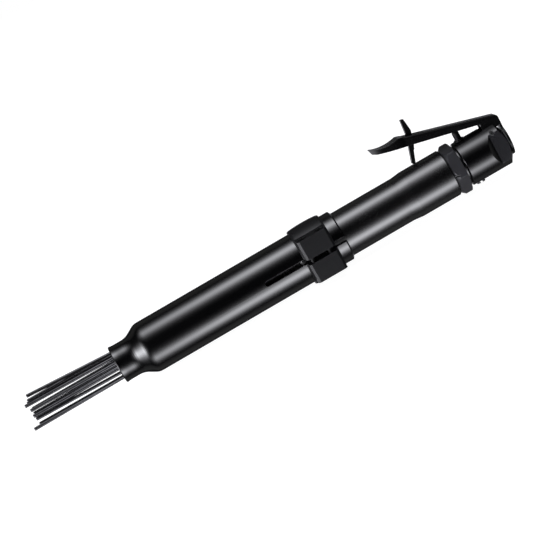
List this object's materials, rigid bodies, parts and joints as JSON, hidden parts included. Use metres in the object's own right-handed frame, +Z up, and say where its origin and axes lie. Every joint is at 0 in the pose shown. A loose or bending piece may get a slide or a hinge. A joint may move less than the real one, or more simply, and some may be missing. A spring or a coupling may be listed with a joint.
{
  "type": "needle scaler",
  "caption": "Straight air-driven needle scaler: cylindrical grip with a throttle lever and safety catch, adjustable front tube with a clamp, and a bundle of steel needles.",
  "frame": {"origin": "centre of the mouth of the air inlet, on the tool axis at the rear face of the throttle head", "axes": "+X along the tool axis out of the air inlet, the needles point to -X; +Z up through the throttle lever; the clamp ears are on the -Y side"},
  "size_m": [0.4722, 0.0612, 0.0866],
  "materials": {
    "grip_paint": "satin black coating with slight wear along the edges",
    "tube_paint": "semi-gloss black coating",
    "head_paint": "satin black casting",
    "nut_black": "black oxide with bright worn corners",
    "lever_black": "semi-gloss black pressed sheet",
    "clamp_black": "satin black casting",
    "screw_steel": "black oxide screws",
    "needle_steel": "worn spring steel with brown tarnish",
    "ground_steel": "ground and hardened steel",
    "spring_steel": "drawn spring wire",
    "stem_steel": "dark steel",
    "bush_steel": "dark turned steel",
    "seal_rubber": "matt nitrile rubber"
  },
  "bodies": {
    "handle": {"cylinder": "grip_paint", "anvil_bush": "ground_steel", "valve_plate": "ground_steel", "valve_case": "ground_steel", "valve_cap": "ground_steel", "valve_dowels": "ground_steel", "lock_nut": "nut_black", "valve_head": "head_paint", "stem_bush": "bush_steel", "stem_o_ring": "seal_rubber", "valve_spring": "spring_steel", "valve_plug": "bush_steel", "plug_o_ring": "seal_rubber", "inlet_screen": "ground_steel", "lever_pin": "stem_steel"},
    "lever": {"throttle_lever": "lever_black", "catch_pin": "stem_steel", "catch_spring": "spring_steel"},
    "catch": {"safety_catch": "lever_black"},
    "stem": {"valve_stem": "stem_steel"},
    "shuttle": {"shuttle_valve": "ground_steel"},
    "hammer": {"piston": "ground_steel"},
    "striker": {"anvil": "ground_steel"},
    "needle_set": {"needle_holder": "ground_steel", "needles": "needle_steel", "return_spring": "spring_steel"},
    "front": {"front_tube": "tube_paint", "tube_clamp": "clamp_black", "clamp_screws": "screw_steel"}
  },
  "joints": [
    {"name": "lever_press", "type": "hinge", "parent": "handle", "child": "lever", "pos_m": [-0.0093, 0, 0.0136], "axis": [0, -1, 0], "range_deg": [0, 10], "stiffness_Nm_per_rad": 2, "springref_deg": -5.73},
    {"name": "catch_turn", "type": "hinge", "parent": "lever", "child": "catch", "pos_m": [-0.0696, 0, 0.0409], "axis": [0, 1, 0], "range_deg": [0, 67.5], "stiffness_Nm_per_rad": 0.01, "springref_deg": -11.46, "deforming": ["catch_spring"]},
    {"name": "stem_press", "type": "slide", "parent": "handle", "child": "stem", "axis": [0, 0, -1], "range_m": [0, 0.0052], "stiffness_N_per_m": 400, "springref_m": -0.002, "deforming": ["valve_spring"]},
    {"name": "shuttle_shift", "type": "slide", "parent": "handle", "child": "shuttle", "axis": [-1, 0, 0], "range_m": [0, 0.0012]},
    {"name": "piston_stroke", "type": "slide", "parent": "handle", "child": "hammer", "axis": [-1, 0, 0], "range_m": [0, 0.044]},
    {"name": "needle_stroke", "type": "slide", "parent": "handle", "child": "needle_set", "axis": [-1, 0, 0], "range_m": [0, 0.008], "stiffness_N_per_m": 1500, "springref_m": -0.002, "deforming": ["return_spring"]},
    {"name": "anvil_stroke", "type": "slide", "parent": "handle", "child": "striker", "axis": [-1, 0, 0], "range_m": [0, 0.008]},
    {"name": "tube_adjust", "type": "slide", "parent": "handle", "child": "front", "axis": [1, 0, 0], "range_m": [0, 0.02], "deforming": ["return_spring"]}
  ],
  "couplings": [
    {"joint": "catch_turn", "follows": "lever_press", "ratio": 6.7},
    {"joint": "stem_press", "follows": "lever_press", "m_per_rad": 0.0292},
    {"joint": "anvil_stroke", "follows": "needle_stroke", "ratio": 1}
  ]
}
